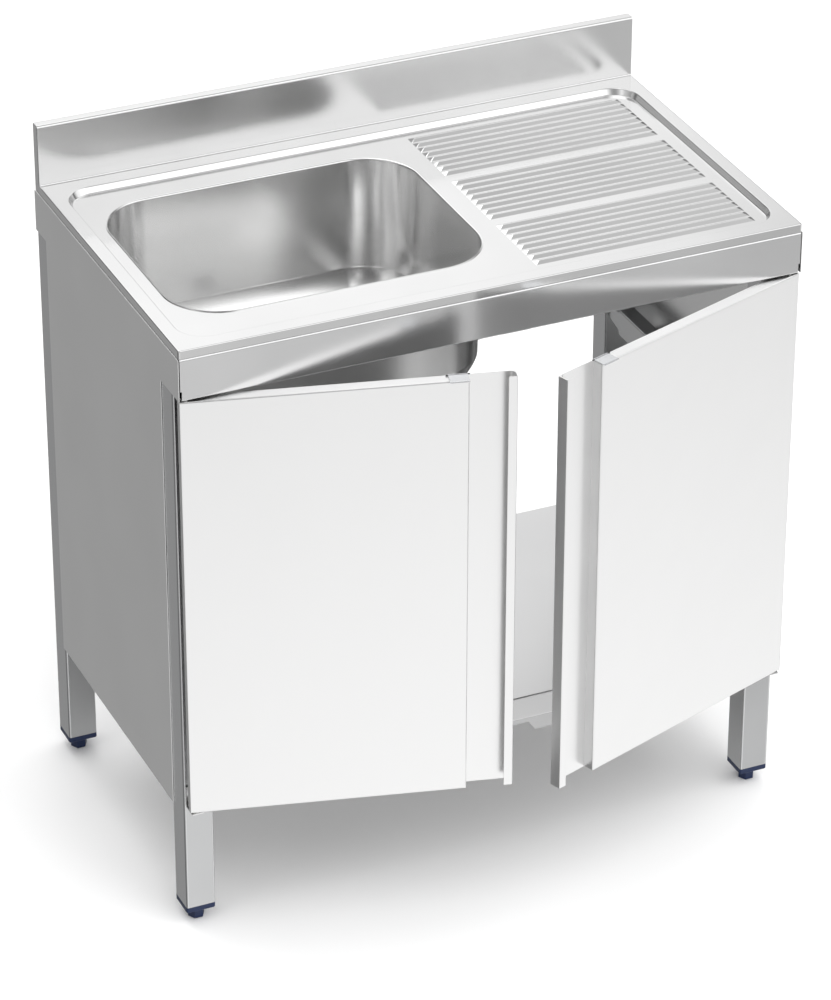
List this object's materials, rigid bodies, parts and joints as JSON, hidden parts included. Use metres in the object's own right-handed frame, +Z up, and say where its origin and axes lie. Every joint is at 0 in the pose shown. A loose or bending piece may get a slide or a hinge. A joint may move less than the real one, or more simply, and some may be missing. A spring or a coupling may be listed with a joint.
{
  "type": "sink cabinet",
  "caption": "Free-standing stainless steel sink cabinet: pressed worktop with a deep bowl, ribbed drainer and splashback, pivoted doors with finger recesses, and square legs on levelling feet.",
  "frame": {"origin": "on the floor, below the middle of the whole box with the doors ajar as stored", "axes": "+X to the right as seen by the user, with the bowl at -X; +Y to the wall behind; +Z up"},
  "size_m": [0.89, 0.6742, 0.989],
  "materials": {
    "worktop_steel": "satin pressed stainless sheet",
    "bowl_steel": "satin drawn stainless sheet",
    "panel_steel": "fine brushed stainless sheet",
    "door_steel": "fine brushed stainless sheet",
    "frame_steel": "ground stainless tube and section",
    "polished_steel": "bright stainless fittings",
    "navy_plastic": "moulded, slight sheen",
    "black_plastic": "moulded",
    "black_rubber": "moulded",
    "white_nylon": "moulded"
  },
  "bodies": {
    "cabinet": {"worktop": "worktop_steel", "splash_cap_left": "worktop_steel", "splash_cap_right": "worktop_steel", "drainer_stiffener": "frame_steel", "sink_bowl": "bowl_steel", "waste_strainer": "polished_steel", "waste_gasket": "black_rubber", "waste_nut": "white_nylon", "front_apron": "panel_steel", "rear_apron": "panel_steel", "left_side_panel": "panel_steel", "right_side_panel": "panel_steel", "leg_front_left": "frame_steel", "leg_front_right": "frame_steel", "leg_rear_left": "frame_steel", "leg_rear_right": "frame_steel", "foot_cap_front_left": "navy_plastic", "foot_cap_front_right": "navy_plastic", "foot_cap_rear_left": "navy_plastic", "foot_cap_rear_right": "navy_plastic", "left_mid_rail": "frame_steel", "right_mid_rail": "frame_steel", "bottom_shelf": "panel_steel", "front_bottom_rail": "panel_steel", "left_pivot_bracket": "polished_steel", "right_pivot_bracket": "polished_steel", "left_pivot_washer": "white_nylon", "right_pivot_washer": "white_nylon", "left_top_pin": "polished_steel", "right_top_pin": "polished_steel", "left_catch_magnet": "black_plastic", "right_catch_magnet": "black_plastic"},
    "left_door": {"left_door_skin": "door_steel", "left_door_liner": "door_steel", "left_door_clip": "polished_steel"},
    "right_door": {"right_door_skin": "door_steel", "right_door_liner": "door_steel", "right_door_clip": "polished_steel"},
    "front_left_foot": {"foot_front_left": "navy_plastic"},
    "front_right_foot": {"foot_front_right": "navy_plastic"},
    "rear_left_foot": {"foot_rear_left": "navy_plastic"},
    "rear_right_foot": {"foot_rear_right": "navy_plastic"}
  },
  "joints": [
    {"name": "left_door_hinge", "type": "hinge", "parent": "cabinet", "child": "left_door", "pos_m": [-0.4325, -0.18615, 0.5123], "axis": [0, 0, -1], "range_deg": [-14.4, 95.6]},
    {"name": "right_door_hinge", "type": "hinge", "parent": "cabinet", "child": "right_door", "pos_m": [0.4325, -0.18615, 0.5123], "axis": [0, 0, 1], "range_deg": [-19.5, 90.5]},
    {"name": "front_left_foot_screw", "type": "slide", "parent": "cabinet", "child": "front_left_foot", "axis": [0, 0, -1], "range_m": [0, 0.025]},
    {"name": "front_right_foot_screw", "type": "slide", "parent": "cabinet", "child": "front_right_foot", "axis": [0, 0, -1], "range_m": [0, 0.025]},
    {"name": "rear_left_foot_screw", "type": "slide", "parent": "cabinet", "child": "rear_left_foot", "axis": [0, 0, -1], "range_m": [0, 0.025]},
    {"name": "rear_right_foot_screw", "type": "slide", "parent": "cabinet", "child": "rear_right_foot", "axis": [0, 0, -1], "range_m": [0, 0.025]}
  ]
}
